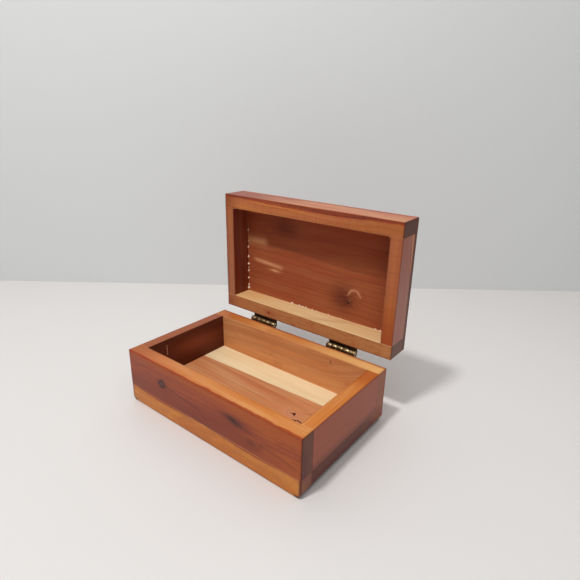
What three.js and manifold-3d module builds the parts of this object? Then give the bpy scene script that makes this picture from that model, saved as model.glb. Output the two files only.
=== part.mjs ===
// A small wooden keepsake box with a solid lid on two brass stop hinges, standing open.
// Millimetres, +Z up, +X along the length, +Y towards the hinges.
// The origin is the middle of the underside.

import * as THREE from 'three';
import { mergeVertices } from 'three/addons/utils/BufferGeometryUtils.js';
import Module from 'manifold-3d';

const wasm = await Module();
wasm.setup();

// Boards
const boxLength = 165;
const boxDepth = 101.5;
const sideThickness = 11.3; // front and back boards, which run the full length
const endThickness = 9.4; // end boards, held between them
const bottomThickness = 13.8;
const bodyWallHeight = 29.8;
const lidWallHeight = 18.2;
const lidTopThickness = 4.5;
const glueLine = 0.1;
const rimGap = 0.3; // left between the two rims when the lid is down
const bottomEndRadius = 5; // the underside's left and right edges are rounded over
const topEndRadius = 1; // the lid's left and right outer edges are only eased
const eased = 0.6; // flat taken off each long outer edge

// Hinges
const hingeLength = 25.4;
const leftHingeInset = 43.8; // from the left end to the hinge's middle
const rightHingeInset = 41.5;
const knuckleCount = 5;
const knuckleGap = 0.3;
const pinRadius = 1;
const pinClearance = 0.06;
const pinProud = 0.3;
const pinChamfer = 0.25;
const barrelWall = 0.95;
const leafThickness = 0.9;
const leafHeight = 9.2;
const leafSeat = 0.1; // left between a leaf and its board
const barrelToLeaf = 1.1; // free space between barrel and leaf
const axisBelowRim = 0.35; // the pins sit this far below the top of the body
const barrelClearance = 0.25; // between a barrel and the other leaf's flange
const stopGap = 0.15; // left between the two flange tips when the lid stands open
const openAngle = 90;

// Screws
const screwsPerLeaf = 2;
const screwSpacing = 15;
const shankRadius = 0.95;
const headRadius = 1.8;
const headDome = 0.25;
const slotWidth = 0.5;
const slotDepth = 0.45;
const screwClearance = 0.1;
const woodBehindScrew = 3;

// Sizes that follow from those
const bodyHeight = bottomThickness + glueLine + bodyWallHeight;
const lidHeight = lidWallHeight + glueLine + lidTopThickness;
const endLength = boxDepth - 2 * sideThickness - 2 * glueLine;
const barrelRadius = pinRadius + pinClearance + barrelWall;
const axisOffset = leafSeat + leafThickness + barrelToLeaf + barrelRadius;
const axisY = boxDepth / 2 + axisOffset;
const axisZ = bodyHeight - axisBelowRim;
const flangeDrop = barrelRadius + barrelClearance;
const screwDrop = flangeDrop + (leafHeight + leafThickness) / 2;
const screwLength = sideThickness - woodBehindScrew;
const headDepth = headRadius - shankRadius;
const leafFace = leafSeat + leafThickness; // how far a leaf's outer face stands off its board
const hingePlaces = {
  left: leftHingeInset - boxLength / 2,
  right: boxLength / 2 - rightHingeInset,
};

// Facets
const arcSegments = 12; // a curve in an outline has twice as many
const turnedSegments = 24;

// Finishes
const finishes = {
  frontBoard: { color: '#9c4e2c', roughness: 0.35, metalness: 0 },
  backBoard: { color: '#c98a4d', roughness: 0.45, metalness: 0 },
  endBoard: { color: '#8a4630', roughness: 0.35, metalness: 0 },
  bottomBoard: { color: '#cf8d4a', roughness: 0.4, metalness: 0 },
  lidBoard: { color: '#a55f36', roughness: 0.35, metalness: 0 },
  lidTop: { color: '#7c3a22', roughness: 0.4, metalness: 0 },
  leafBrass: { color: '#8f7748', roughness: 0.4, metalness: 1 },
  pinBrass: { color: '#c2a878', roughness: 0.35, metalness: 1 },
  screwBrass: { color: '#a68a52', roughness: 0.35, metalness: 1 },
};
for (const [name, look] of Object.entries(finishes)) {
  finishes[name] = new THREE.MeshStandardMaterial(look);
}

// Joining and cutting

function bare(geometry) {
  const copy = geometry.clone();
  copy.deleteAttribute('normal');
  copy.deleteAttribute('uv');
  return mergeVertices(copy, 1e-5);
}

function solidOf(geometry) {
  const merged = bare(geometry);
  return new wasm.Manifold(new wasm.Mesh({
    numProp: 3,
    vertProperties: new Float32Array(merged.attributes.position.array),
    triVerts: new Uint32Array(merged.index.array),
  }));
}

function geometryOf(solid) {
  const mesh = solid.getMesh();
  const geometry = new THREE.BufferGeometry();
  geometry.setAttribute('position', new THREE.BufferAttribute(mesh.vertProperties, 3));
  geometry.setIndex(new THREE.BufferAttribute(mesh.triVerts, 1));
  return geometry;
}

function cut(geometry, cutters) {
  let solid = solidOf(geometry);
  for (const cutter of cutters) {
    solid = solid.subtract(solidOf(cutter));
  }
  return geometryOf(solid);
}

function join(geometries) {
  let solid = solidOf(geometries[0]);
  for (const piece of geometries.slice(1)) {
    solid = solid.add(solidOf(piece));
  }
  return geometryOf(solid);
}

function named(name, geometry, material) {
  const mesh = new THREE.Mesh(geometry, material);
  mesh.name = name;
  return mesh;
}

// Outlines carried along an axis

// The outline lies in Y and Z, and is carried along X about the middle.
function alongX(outline, length) {
  const geometry = new THREE.ExtrudeGeometry(outline, {
    depth: length,
    bevelEnabled: false,
    curveSegments: arcSegments,
  });
  geometry.translate(0, 0, -length / 2);
  const turn = new THREE.Matrix4().makeBasis(
    new THREE.Vector3(0, 1, 0),
    new THREE.Vector3(0, 0, 1),
    new THREE.Vector3(1, 0, 0),
  );
  return geometry.applyMatrix4(turn);
}

// The outline lies in X and Z, and is carried along Y about the middle.
function alongY(outline, length) {
  const geometry = new THREE.ExtrudeGeometry(outline, {
    depth: length,
    bevelEnabled: false,
    curveSegments: arcSegments,
  });
  geometry.translate(0, 0, -length / 2);
  return geometry.rotateX(Math.PI / 2);
}

// A profile of [radius, height] pairs turned about Y.
function turned(profile) {
  const points = profile.map(([radius, height]) => new THREE.Vector2(radius, height));
  return new THREE.LatheGeometry(points, turnedSegments);
}

// Boards

// A front or back board: a bar whose outer face looks along -Y, with its free long edge eased.
// easedTop says whether the eased edge is the upper one.
function sideBoard(height, easedTop) {
  const outline = new THREE.Shape();
  const outer = -sideThickness / 2;
  const inner = sideThickness / 2;
  const free = easedTop ? height / 2 : -height / 2;
  const step = easedTop ? -eased : eased;
  outline.moveTo(inner, -free);
  outline.lineTo(inner, free);
  outline.lineTo(outer + eased, free);
  outline.lineTo(outer, free + step);
  outline.lineTo(outer, -free);
  outline.closePath();
  return alongX(outline, boxLength);
}

// A flat board over the whole length and depth, with its two lower end edges rounded over.
function roundedBoard(thickness, radius) {
  const half = boxLength / 2;
  const outline = new THREE.Shape();
  outline.moveTo(-half, thickness / 2);
  outline.lineTo(-half, radius - thickness / 2);
  outline.absarc(radius - half, radius - thickness / 2, radius, Math.PI, 1.5 * Math.PI, false);
  outline.lineTo(half - radius, -thickness / 2);
  outline.absarc(half - radius, radius - thickness / 2, radius, 1.5 * Math.PI, 2 * Math.PI, false);
  outline.lineTo(half, thickness / 2);
  outline.closePath();
  return alongY(outline, boxDepth);
}

// Holes in a back board for the screws of both leaves, from its outer face at +Y inwards.
// screwHeight is the screws' height from the board's middle.
function pilotHoles(screwHeight) {
  const depth = screwLength - leafFace + screwClearance;
  const past = 1;
  return Object.values(hingePlaces).flatMap((hingeX) => screwOffsets().map((offset) => {
    const radius = shankRadius + screwClearance;
    const hole = new THREE.CylinderGeometry(radius, radius, depth + past, turnedSegments);
    return hole.translate(hingeX + offset, sideThickness / 2 - (depth - past) / 2, screwHeight);
  }));
}

// The four walls of the body or the lid, from z = 0 up to z = height. screwHeight is the
// height of the hinge screws above z = 0.
function walls(prefix, height, screwHeight, materials) {
  const group = new THREE.Group();
  const sideY = (boxDepth - sideThickness) / 2;
  const endX = (boxLength - endThickness) / 2;
  const easedTop = prefix === 'body';

  const front = named(`${prefix}_front_board`, sideBoard(height, easedTop), materials.front);
  front.position.set(0, -sideY, height / 2);

  const backBlank = sideBoard(height, !easedTop).rotateX(Math.PI);
  const backHoles = pilotHoles(screwHeight - height / 2);
  const back = named(`${prefix}_back_board`, cut(backBlank, backHoles), materials.back);
  back.position.set(0, sideY, height / 2);

  const endShape = new THREE.BoxGeometry(endThickness, endLength, height);
  const left = named(`${prefix}_left_end`, endShape, materials.end);
  left.position.set(-endX, 0, height / 2);
  const right = named(`${prefix}_right_end`, endShape.clone(), materials.end);
  right.position.set(endX, 0, height / 2);

  group.add(front, back, left, right);
  return group;
}

// Screws

function screwOffsets() {
  const first = -screwSpacing * (screwsPerLeaf - 1) / 2;
  return Array.from({ length: screwsPerLeaf }, (_, index) => first + index * screwSpacing);
}

// A countersunk screw along Y, with its head's rim at y = 0 and its point towards -Y.
function screw(slotTurn) {
  const pointLength = 2;
  const shank = turned([
    [0, -screwLength],
    [shankRadius, pointLength - screwLength],
    [shankRadius, -headDepth],
    [headRadius, 0],
    [headRadius * 0.7, headDome * 0.7],
    [headRadius * 0.35, headDome],
    [0, headDome],
  ]);
  const slot = new THREE.BoxGeometry(3 * headRadius, 2 * slotDepth, slotWidth);
  slot.translate(0, headDome, 0).rotateY(slotTurn);
  return cut(shank, [slot]);
}

// The hole that a countersunk screw needs in its leaf.
function countersink() {
  const past = 1;
  const shaft = shankRadius + screwClearance;
  return turned([
    [0, -headDepth - leafThickness],
    [shaft, -headDepth - leafThickness],
    [shaft, -headDepth],
    [headRadius + screwClearance, 0],
    [headRadius + screwClearance, past],
    [0, past],
  ]);
}

// Hinges, each drawn about its pin: the leaf below the pin belongs to the body.

// One leaf: a plate on the back board, a flange bent out from it under the barrel, and this
// leaf's share of the knuckles. The flange's tip is what stops the lid.
function leaf(knuckles) {
  const plate = new THREE.Shape();
  const wall = leafSeat - axisOffset;
  const tip = flangeDrop - stopGap;
  plate.moveTo(wall, -flangeDrop - leafHeight);
  plate.lineTo(wall + leafThickness, -flangeDrop - leafHeight);
  plate.lineTo(wall + leafThickness, -flangeDrop - leafThickness);
  plate.lineTo(tip, -flangeDrop - leafThickness);
  plate.lineTo(tip, -flangeDrop);
  plate.lineTo(wall, -flangeDrop);
  plate.closePath();

  const pitch = (hingeLength + knuckleGap) / knuckleCount;
  const rolls = knuckles.map((index) => {
    const offset = (index - (knuckleCount - 1) / 2) * pitch;
    return alongX(knuckleOutline(), pitch - knuckleGap).translate(offset, 0, 0);
  });
  const holes = screwOffsets().map((offset) => (
    countersink().translate(offset, wall + leafThickness, -screwDrop)
  ));
  return cut(join([alongX(plate, hingeLength), ...rolls]), holes);
}

// A knuckle: round over the pin, straight down into the flange, and bored for the pin.
function knuckleOutline() {
  const rooted = flangeDrop + leafThickness / 2;
  const outline = new THREE.Shape();
  outline.moveTo(-barrelRadius, -rooted);
  outline.lineTo(barrelRadius, -rooted);
  outline.lineTo(barrelRadius, 0);
  outline.absarc(0, 0, barrelRadius, 0, Math.PI, false);
  outline.closePath();
  const bore = new THREE.Path();
  bore.absarc(0, 0, pinRadius + pinClearance, 0, 2 * Math.PI, true);
  outline.holes.push(bore);
  return outline;
}

function pin() {
  const end = hingeLength / 2 + pinProud;
  return turned([
    [0, -end],
    [pinRadius - pinChamfer, -end],
    [pinRadius, pinChamfer - end],
    [pinRadius, end - pinChamfer],
    [pinRadius - pinChamfer, end],
    [0, end],
  ]).rotateZ(Math.PI / 2);
}

function everyOther(first) {
  return Array.from({ length: knuckleCount }, (_, index) => index).filter((i) => i % 2 === first);
}

// One leaf with its screws. Turned half round about Y it is the lid's leaf.
function leafGroup(side, owner, first) {
  const group = new THREE.Group();
  group.add(named(`${side}_hinge_${owner}_leaf`, leaf(everyOther(first)), finishes.leafBrass));
  screwOffsets().forEach((offset, index) => {
    const slotTurn = 0.5 + 1.1 * index + 0.4 * first;
    const name = `${side}_hinge_${owner}_screw_${index + 1}`;
    const piece = named(name, screw(slotTurn), finishes.screwBrass);
    piece.position.set(offset, leafFace - axisOffset, -screwDrop);
    group.add(piece);
  });
  return group;
}

// The body

const body = new THREE.Group();

const bottom = roundedBoard(bottomThickness, bottomEndRadius);
const bottomBoard = named('body_bottom_board', bottom, finishes.bottomBoard);
bottomBoard.position.set(0, 0, bottomThickness / 2);
body.add(bottomBoard);

const bodyScrewHeight = axisZ - screwDrop - bottomThickness - glueLine;
const bodyWalls = walls('body', bodyWallHeight, bodyScrewHeight, {
  front: finishes.frontBoard,
  back: finishes.backBoard,
  end: finishes.endBoard,
});
bodyWalls.position.set(0, 0, bottomThickness + glueLine);
body.add(bodyWalls);

for (const [side, hingeX] of Object.entries(hingePlaces)) {
  const fixed = leafGroup(side, 'body', 0);
  fixed.add(named(`${side}_hinge_pin`, pin(), finishes.pinBrass));
  fixed.position.set(hingeX, axisY, axisZ);
  body.add(fixed);
}

// The lid, drawn shut about the hinge pins and then swung open

const lid = new THREE.Group();

const lidRimZ = rimGap + axisBelowRim;
const lidY = -axisOffset - boxDepth / 2;
const lidTop = roundedBoard(lidTopThickness, topEndRadius).rotateY(Math.PI);
const lidTopBoard = named('lid_top_board', lidTop, finishes.lidTop);
lidTopBoard.position.set(0, lidY, lidRimZ + lidHeight - lidTopThickness / 2);
lid.add(lidTopBoard);

const lidScrewHeight = screwDrop - lidRimZ;
const lidWalls = walls('lid', lidWallHeight, lidScrewHeight, {
  front: finishes.lidBoard,
  back: finishes.lidBoard,
  end: finishes.lidBoard,
});
lidWalls.position.set(0, lidY, lidRimZ);
lid.add(lidWalls);

for (const [side, hingeX] of Object.entries(hingePlaces)) {
  const swinging = leafGroup(side, 'lid', 1);
  swinging.rotation.y = Math.PI;
  swinging.position.set(hingeX, 0, 0);
  lid.add(swinging);
}

lid.position.set(0, axisY, axisZ);
lid.rotation.x = -THREE.MathUtils.degToRad(openAngle);

const box = new THREE.Group();
box.add(body, lid);

export default box;
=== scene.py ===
"""A small cedar keepsake box, standing open on its two brass stop hinges.

The boards, the run of the grain and the dried glue are worked out with numpy round a fixed
frame. Lengths are in metres, and the shaders' distances in millimetres.
"""

import math
from typing import NamedTuple

import bmesh
import bpy
import numpy as np
from mathutils import Matrix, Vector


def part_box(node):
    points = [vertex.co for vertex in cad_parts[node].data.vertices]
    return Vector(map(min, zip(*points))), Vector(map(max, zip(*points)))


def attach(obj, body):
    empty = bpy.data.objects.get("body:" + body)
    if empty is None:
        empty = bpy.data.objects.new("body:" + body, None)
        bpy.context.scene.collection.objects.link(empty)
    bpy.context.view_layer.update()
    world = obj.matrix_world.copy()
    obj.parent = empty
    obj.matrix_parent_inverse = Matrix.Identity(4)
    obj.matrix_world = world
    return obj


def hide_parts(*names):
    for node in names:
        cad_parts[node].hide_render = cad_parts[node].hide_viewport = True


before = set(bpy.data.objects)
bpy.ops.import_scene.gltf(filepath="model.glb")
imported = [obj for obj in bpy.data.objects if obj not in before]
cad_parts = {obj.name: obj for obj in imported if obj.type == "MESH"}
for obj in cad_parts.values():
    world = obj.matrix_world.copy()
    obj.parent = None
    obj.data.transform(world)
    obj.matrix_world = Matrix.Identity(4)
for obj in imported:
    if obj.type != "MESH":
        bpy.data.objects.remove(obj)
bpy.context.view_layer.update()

bl_info = {
    "name": "Cedar keepsake box",
    "version": (1, 0, 0),
    "blender": (4, 5, 0),
    "location": "View3D > Sidebar > Keepsake",
    "description": "Builds the boards, hinges and dried glue of a small hinged cedar box",
    "category": "Object",
}

MM = 0.001
X, Y, Z = 0, 1, 2
LEFT, RIGHT = (X, -1), (X, 1)
FRONT, BACK = (Y, -1), (Y, 1)
BELOW, ABOVE = (Z, -1), (Z, 1)

GLUE_GAP = 0.09 * MM  # what a glued face moves out by to close its joint
SPAN_END = 0.5 * MM  # over which an edge goes from crisp to rounded at the end of its span
EDGE_REACH = 1.1 * MM  # how far wear reaches from a rounded edge
DENT_DEPTH = 3.5 * MM  # how far the darkening near a rounded edge reaches


# ---------------------------------------------------------------- settings


def colour_setting(name, description, default):
    return bpy.props.FloatVectorProperty(
        name=name, description=description, default=default,
        subtype="COLOR", size=3, min=0.0, max=1.0,
    )


def length_setting(name, description, default):
    return bpy.props.FloatProperty(
        name=name, description=description, default=default, unit="LENGTH", min=0.0,
        precision=5,
    )


def place_setting(name, description, default):
    return bpy.props.FloatVectorProperty(
        name=name, description=description, default=default, unit="LENGTH",
        subtype="TRANSLATION", precision=5,
    )


def angle_setting(name, description, degrees):
    return bpy.props.FloatProperty(
        name=name, description=description, default=math.radians(degrees), subtype="ANGLE",
    )


def amount_setting(name, description, default):
    return bpy.props.FloatProperty(
        name=name, description=description, default=default, min=0.0,
    )


class KeepsakeWood(bpy.types.PropertyGroup):
    """Colours and sizes of the cedar boards."""

    heartwood: colour_setting(
        "Heartwood", "Varnished red-brown heartwood", (0.4, 0.08, 0.027))
    orange: colour_setting(
        "Orange heartwood", "Fresh orange-brown heartwood", (0.47, 0.105, 0.019))
    purple: colour_setting(
        "Purple heartwood", "Purple-brown streaks in the heartwood", (0.22, 0.04, 0.022))
    scarlet: colour_setting(
        "Scarlet", "Bright line where heartwood meets sapwood", (0.42, 0.05, 0.012))
    tan: colour_setting(
        "Tan", "Varnished light wood", (0.64, 0.2, 0.034))
    honey: colour_setting(
        "Honey", "Varnished sapwood", (0.76, 0.37, 0.13))
    bare_heartwood: colour_setting(
        "Bare heartwood", "Pinkish heartwood without varnish", (0.58, 0.21, 0.08))
    bare_tan: colour_setting(
        "Bare tan", "Light brown wood without varnish", (0.6, 0.28, 0.12))
    cream: colour_setting(
        "Cream", "Sapwood without varnish", (0.86, 0.66, 0.38))
    end_grain: colour_setting(
        "End grain", "Sawn ends of heartwood, darkened by varnish", (0.095, 0.022, 0.014))
    knot: colour_setting(
        "Knot", "Heart of a knot", (0.06, 0.018, 0.014))
    ring_spacing: length_setting(
        "Ring spacing", "Usual width of one growth ring", 1.7 * MM)
    outer_edge: length_setting(
        "Outer edge", "Radius of the sanded outer edges", 0.8 * MM)
    rim_edge: length_setting(
        "Rim edge", "Radius of the rims' inner edges", 0.4 * MM)
    foot_edge: length_setting(
        "Foot edge", "Radius of the bottom board's two lower ends", 5.0 * MM)
    lid_edge: length_setting(
        "Lid edge", "Radius of the lid top's two outer ends", 1.0 * MM)
    glued_edge: length_setting(
        "Glued edge", "Radius of edges inside a glued joint", 0.1 * MM)
    grid_step: length_setting(
        "Grid step", "Widest spacing of a board's grid lines", 2.6 * MM)


class KeepsakeBrass(bpy.types.PropertyGroup):
    """Colours and sizes of the hinges."""

    bright: colour_setting(
        "Bright brass", "Brass where it is rubbed", (0.66, 0.5, 0.27))
    aged: colour_setting(
        "Aged brass", "Brass with its brown patina", (0.17, 0.1, 0.045))
    # also paints the shade over the flat of the hinge leaves
    grime_and_shade: colour_setting(
        "Grime", "Dirt and lacquer in the corners", (0.02, 0.01, 0.006))
    ease: length_setting(
        "Ease", "Width of the softened edges", 0.14 * MM)


class KeepsakeGlue(bpy.types.PropertyGroup):
    """Dried glue that was squeezed out of the joints."""

    pale: colour_setting(
        "Dried glue", "Whitish dried glue", (0.85, 0.66, 0.5))
    amber: colour_setting(
        "Amber glue", "Thin glue that shows the wood's colour", (0.55, 0.25, 0.13))
    film: length_setting(
        "Film", "Radius of the thin run between beads", 0.12 * MM)


class KeepsakeStage(bpy.types.PropertyGroup):
    """Floor, backdrop, light and camera."""

    floor: colour_setting("Floor", "Pale floor", (0.8, 0.77, 0.745))
    backdrop: colour_setting("Backdrop", "Pale grey backdrop", (0.8, 0.81, 0.8))
    backdrop_distance: length_setting(
        "Backdrop distance", "From the camera to the backdrop, along the floor", 0.576)
    surroundings: colour_setting(
        "Surroundings", "Light that comes from all round", (0.62, 0.635, 0.66))
    surroundings_strength: amount_setting(
        "Surroundings strength", "Brightness of the light from all round", 0.42)
    aim: place_setting("Aim", "What both lights shine on", (0.0, 0.0, 0.05))
    key_power: amount_setting("Key power", "Power of the small main light, in watts", 5.8)
    key_size: length_setting("Key size", "Side of the main light", 0.1)
    key_distance: length_setting("Key distance", "How far off the main light is", 1.1)
    key_azimuth: angle_setting(
        "Key azimuth", "Heading of the main light, left of straight in front", 5.5)
    key_height: angle_setting("Key height", "Height of the main light above the horizon", 66.5)
    overhead_power: amount_setting(
        "Overhead power", "Power of the broad soft light overhead, in watts", 4.4)
    overhead_size: length_setting("Overhead size", "Side of the broad soft light", 1.2)
    overhead_place: place_setting(
        "Overhead place", "Where the broad soft light hangs", (0.3, -0.3, 1.25))
    camera_place: place_setting(
        "Camera place", "Where the camera stands", (0.2055, -0.2232, 0.2129))
    azimuth: angle_setting("Azimuth", "Heading of the camera, left of straight back", 37.78)
    elevation: angle_setting("Elevation", "How far the camera looks down", 20.77)
    roll: angle_setting("Roll", "Tilt of the camera about its own axis", 1.09)
    focal_length: amount_setting(
        "Focal length", "Focal length of the lens, in millimetres", 28.79)


# ---------------------------------------------------------------- shader expressions


class Value:
    """A number socket that takes part in expressions; each operator adds one Math node."""

    def __init__(self, paint, socket):
        self.paint = paint
        self.socket = socket

    def __add__(self, other):
        return self.paint.maths("ADD", self, other)

    __radd__ = __add__

    def __sub__(self, other):
        return self.paint.maths("SUBTRACT", self, other)

    def __rsub__(self, other):
        return self.paint.maths("SUBTRACT", other, self)

    def __mul__(self, other):
        return self.paint.maths("MULTIPLY", self, other)

    __rmul__ = __mul__

    def __truediv__(self, other):
        return self.paint.maths("DIVIDE", self, other)

    def __neg__(self):
        return self * -1.0

    def __abs__(self):
        return self.paint.maths("ABSOLUTE", self)


class Paint:
    """One material's node tree, written as expressions."""

    def __init__(self, name):
        self.material = bpy.data.materials.new(name)
        self.material.use_nodes = True
        self.tree = self.material.node_tree
        self.tree.nodes.clear()

    def node(self, kind, settings=None, sockets=None):
        """Adds a node: its settings come first, then the values or links of its sockets."""
        made = self.tree.nodes.new(kind)
        for name, value in (settings or {}).items():
            setattr(made, name, value)
        for key, value in (sockets or {}).items():
            if isinstance(value, Value):
                value = value.socket
            if isinstance(value, bpy.types.NodeSocket):
                self.tree.links.new(value, made.inputs[key])
            else:
                made.inputs[key].default_value = value
        return made

    def maths(self, operation, *values):
        made = self.node("ShaderNodeMath", {"operation": operation}, dict(enumerate(values)))
        return Value(self, made.outputs[0])

    def smooth(self, value, start, end):
        """0 below start, 1 above end and an S curve between them."""
        made = self.node(
            "ShaderNodeMapRange", {"interpolation_type": "SMOOTHSTEP"},
            {"Value": value, "From Min": start, "From Max": end},
        )
        return Value(self, made.outputs["Result"])

    def fade(self, value, start, end):
        """1 below start, 0 above end and an S curve between them."""
        return 1.0 - self.smooth(value, start, end)

    def bell(self, offset, width):
        """1 where the offset is 0, falling to about a third one width away."""
        share = offset / width
        return self.maths("EXPONENT", -(share * share))

    def spot(self, u, v, centre, size):
        """A soft oval: 1 at its centre, about a third at its size."""
        across = (u - centre[0]) / size[0]
        up = (v - centre[1]) / size[1]
        return self.maths("EXPONENT", -(across * across + up * up))

    def stroke(self, u, v, start, end, width, fade=4.0):
        """A soft line from start to end, each a place (u, v), that fades out at its ends."""
        slope = (end[1] - start[1]) / (end[0] - start[0])
        line = (u - start[0]) * slope + start[1]
        begins = self.smooth(u, start[0] - fade, start[0] + fade)
        stops = self.fade(u, end[0] - fade, end[0] + fade)
        return self.bell(v - line, width) * begins * stops

    def distance(self, first, second):
        return self.maths("SQRT", first * first + second * second)

    def greatest(self, *values):
        most = values[0]
        for value in values[1:]:
            most = self.maths("MAXIMUM", most, value)
        return most

    def point(self, x, y, z):
        return self.node("ShaderNodeCombineXYZ", None, {0: x, 1: y, 2: z}).outputs[0]

    def noise(self, place, scale=(1.0, 1.0, 1.0), shift=0.0, detail=2.0, roughness=0.5):
        """Smooth noise from 0 to 1; scale gives how many features fit in a millimetre."""
        mapped = self.node(
            "ShaderNodeMapping", None,
            {"Vector": place, "Location": (shift, shift * 1.7, shift * 0.6), "Scale": scale},
        )
        made = self.node(
            "ShaderNodeTexNoise", {"noise_dimensions": "3D"},
            {"Vector": mapped.outputs[0], "Scale": 1.0, "Detail": detail,
             "Roughness": roughness},
        )
        return Value(self, made.outputs["Fac"])

    def mix(self, factor, first, second):
        """A colour between two colours, each a setting or a socket."""
        ends = [
            end if isinstance(end, bpy.types.NodeSocket) else (*end[:3], 1.0)
            for end in (first, second)
        ]
        made = self.node(
            "ShaderNodeMix", {"data_type": "RGBA"}, {0: factor, 6: ends[0], 7: ends[1]})
        return made.outputs[2]

    def deepen(self, factor, colour, tint):
        """Multiplies the colour by the tint where the factor is 1."""
        made = self.node(
            "ShaderNodeMix", {"data_type": "RGBA", "blend_type": "MULTIPLY"},
            {0: factor, 6: colour, 7: (*tint, 1.0)})
        return made.outputs[2]

    def attribute(self, name):
        made = self.node("ShaderNodeAttribute", {"attribute_name": name})
        return Value(self, made.outputs["Fac"])

    def place(self):
        """Object coordinates in millimetres, as three values."""
        coordinates = self.node("ShaderNodeTexCoord").outputs["Object"]
        mapped = self.node(
            "ShaderNodeMapping", None, {"Vector": coordinates, "Scale": (1 / MM,) * 3})
        split = self.node("ShaderNodeSeparateXYZ", None, {0: mapped.outputs[0]})
        return [Value(self, socket) for socket in split.outputs]

    def bump(self, height, strength=1.0):
        """A normal that follows a height in millimetres."""
        made = self.node(
            "ShaderNodeBump", None, {"Strength": strength, "Distance": MM, "Height": height})
        return made.outputs["Normal"]

    def surface(self, sockets):
        """Ends the tree in a Principled shader with these sockets."""
        shader = self.node("ShaderNodeBsdfPrincipled", None, sockets)
        self.node("ShaderNodeOutputMaterial", None, {"Surface": shader.outputs[0]})
        return self.material


# ---------------------------------------------------------------- the grain of the wood


class Knot(NamedTuple):
    """A knot's middle along and across its board, its radius, and its push on the rings.

    All are in millimetres. The knots of the boards follow.
    """

    along: float
    across: float
    radius: float
    push: float


FRONT_KNOT = Knot(-43.8, 28.7, 3.0, 4.0)
FRONT_TEAR = Knot(27.3, 31.0, 2.2, 2.2)
FRONT_BLOTCH = Knot(43.3, 20.6, 3.4, 1.5)
BACK_SPECK = Knot(41.8, 38.4, 1.2, 1.2)
FLOOR_KNOT = Knot(39.1, -1.4, 3.2, -3.4)
LID_KNOT = Knot(34.1, 74.1, 3.6, 3.4)
LID_BRANCH = Knot(-48.0, 120.0, 2.6, 2.0)


class Cut(NamedTuple):
    """How a board was cut from its tree, in millimetres.

    The growth rings are cylinders round the pith, which lies outside the board at the place
    (across, depth). Slope tilts the pith along the board, and wander bends the rings.
    """

    pith: tuple
    spacing: float
    slope: float = 0.0
    wander: float = 3.0
    seed: float = 0.0
    knots: tuple = ()


class Grain(NamedTuple):
    """What the grain gives at each spot: five shares from 0 to 1, and the place bent by it."""

    line: Value
    cloud: Value
    streak: Value
    fibre: Value
    pore: Value
    place: object


def grow(paint, along, across, depth, cut, lift=None):
    """The grain of one board.

    The ring number is the distance to the pith, plus the slope, the wander and a bell shaped
    rise round each knot, divided by the spacing. A growth line darkens slowly over each ring
    and ends sharply. The streaks and fibres are noise drawn out along the same bent grain.
    A lift raises the rings alone, as in a board cut across a bend of its tree.
    """
    straight = paint.point(along, across, depth)
    drift = paint.noise(straight, (0.009, 0.03, 0.03), cut.seed, 2.0) - 0.5
    across = across + drift * cut.wander
    ringed = across if lift is None else across - lift
    reach = paint.distance(ringed - cut.pith[0], depth - cut.pith[1]) + along * cut.slope
    for knot in cut.knots:
        near = paint.spot(
            along, across, (knot.along, knot.across), (knot.radius * 2.4, knot.radius * 1.5))
        reach = reach + near * knot.push
        across = across + near * (across - knot.across) * -0.55
    uneven = paint.noise(paint.point(reach, cut.seed, 0.0), (0.28, 1.0, 1.0), cut.seed, 1.0)
    ring = paint.maths("FRACT", reach / cut.spacing + uneven * 2.2)
    line = paint.smooth(ring, 0.35, 0.93) * paint.fade(ring, 0.93, 1.0)
    bent = paint.point(along, across, depth)
    return Grain(
        line=line,
        cloud=paint.noise(bent, (0.014, 0.1, 0.1), cut.seed + 3.0, 2.0),
        streak=paint.noise(bent, (0.016, 0.7, 0.7), cut.seed + 5.0, 3.0),
        fibre=paint.noise(bent, (0.07, 3.2, 3.2), cut.seed + 7.0, 3.0, 0.6),
        pore=paint.noise(bent, (0.5, 9.0, 9.0), cut.seed + 11.0, 2.0),
        place=bent,
    )


def tint(paint, grain, usual, light, dark, contrast=1.0):
    """Clouds of a lighter wood, darker streaks and growth lines, and fine fibres."""
    colour = paint.mix(paint.smooth(grain.cloud, 0.36, 0.66), usual, light)
    colour = paint.mix(paint.smooth(grain.streak, 0.5, 0.74) * (0.5 * contrast), colour, dark)
    colour = paint.mix(grain.line * (0.42 * contrast), colour, dark)
    colour = paint.mix(paint.smooth(grain.fibre, 0.45, 0.75) * (0.3 * contrast), colour, dark)
    return colour


def varnish(paint, grain, colour, coat, ticks=None, gloss=0.1):
    """Finishes a board.

    coat is 1 where it is varnished and 0 where the wood is bare, ticks are saw marks cut into
    it, and gloss is how bright the varnish shines.
    """
    edge = paint.attribute("edge")
    # darker near rounded edges, where varnished
    colour = paint.deepen(edge * coat * 0.55, colour, (0.62, 0.5, 0.42))
    grit = paint.noise(grain.place, (0.8, 0.8, 0.8), 23.0, 3.0)
    height = grain.fibre * 0.02 + grain.line * 0.012 + grit * 0.012 + grain.pore * 0.006
    if ticks is not None:
        height = height - ticks * 0.03
    return paint.surface({
        "Base Color": colour,
        "Roughness": 0.62 - coat * (0.3 - grit * 0.12),
        "Coat Weight": coat * gloss,
        "Coat Roughness": 0.2,
        "Coat IOR": 1.45,
        "Specular IOR Level": 0.14 + gloss * 0.3,
        "Normal": paint.bump(height, 0.75),
    })


def wood():
    return bpy.context.scene.keepsake_wood


def ring_spacing():
    return wood().ring_spacing / MM


# ---------------------------------------------------------------- places on the boards


def side_of(node, side):
    """Where a node's face lies on its axis, in metres."""
    axis, sign = side
    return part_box(node)[1 if sign > 0 else 0][axis]


def mark(node, side):
    """The same place in millimetres, for the shaders."""
    return side_of(node, side) / MM


def between(first, second, share):
    """A colour part of the way from the first to the second."""
    return tuple(a + (b - a) * share for a, b in zip(first, second))


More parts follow.
